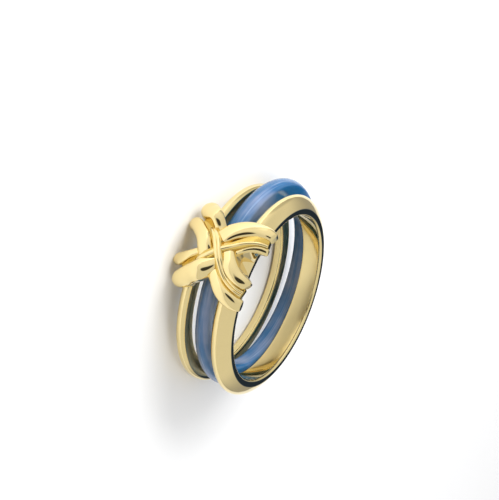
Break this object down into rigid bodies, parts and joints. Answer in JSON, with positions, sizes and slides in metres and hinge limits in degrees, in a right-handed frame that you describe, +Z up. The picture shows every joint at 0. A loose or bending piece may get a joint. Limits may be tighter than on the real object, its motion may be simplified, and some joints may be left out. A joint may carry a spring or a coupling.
{
  "type": "knot ring with loose stone band",
  "caption": "Yellow gold finger ring: a wide and a narrow hoop joined by a woven crossed knot, with a loose closed band of pale blue stone in the slot between the hoops.",
  "frame": {"origin": "middle of the footprint of the ring as it lies on its side, on the surface it rests on", "axes": "+Z up, close to the finger axis, from the narrow hoop to the wide hoop; -Y the side that the knot faces; +X to the right seen from the knot's side"},
  "size_m": [0.0226, 0.0254, 0.0089],
  "materials": {
    "gold": "mirror polished yellow gold",
    "stone": "polished pale blue translucent stone with soft bands"
  },
  "bodies": {
    "frame": {"gold_frame": "gold"},
    "band": {"stone_band": "stone"}
  },
  "joints": [
    {"name": "band_slip", "type": "slide", "parent": "frame", "child": "band", "axis": [0, 0.9979, -0.0646], "range_m": [0, 0.022]}
  ]
}
